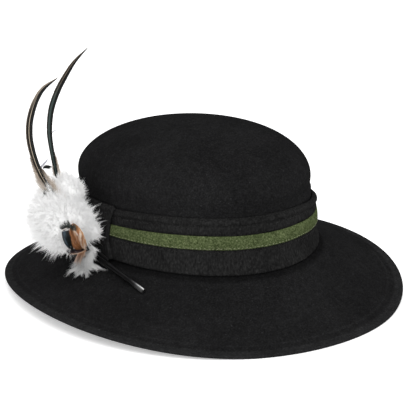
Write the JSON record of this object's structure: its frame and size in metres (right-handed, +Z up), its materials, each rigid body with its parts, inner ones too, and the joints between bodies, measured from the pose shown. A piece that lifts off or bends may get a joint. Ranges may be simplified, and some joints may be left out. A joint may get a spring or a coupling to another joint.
{
  "type": "tyrolean hat",
  "caption": "Black wool felt tyrolean hat with a round crown, a wide sloping brim, a hat band with a green strip and a feather trim at the side.",
  "frame": {"origin": "middle of the brim's outline, on the surface that the hat rests on", "axes": "+Z up through the crown, -Y the hat's front, +X the wearer's left, with the feather trim at -X"},
  "size_m": [0.2906, 0.3224, 0.1896],
  "materials": {
    "felt": "matt black wool felt with a fine nap",
    "band_felt": "matt black felt, top-stitched",
    "green_felt": "matt olive green felt with paler flecks",
    "white_down": "soft white marabou down",
    "dark_feather": "satin greenish-black feather vane",
    "blue_black_feather": "glossy blue-black feather vane",
    "brown_feather": "satin orange-brown feather vane",
    "quill": "glossy black quill horn"
  },
  "bodies": {
    "root": {"felt_body": "felt", "band_lower": "band_felt", "green_strip": "green_felt", "band_upper": "band_felt", "band_keeper": "band_felt", "marabou_plume": "white_down", "marabou_tip": "white_down", "sickle_feather_right": "dark_feather", "sickle_feather_left": "dark_feather", "brown_feather": "brown_feather", "blue_black_feather": "blue_black_feather", "brown_feather_lower": "brown_feather", "quill_stem_1": "quill", "quill_stem_2": "quill", "quill_stem_3": "quill"}
  },
  "joints": []
}
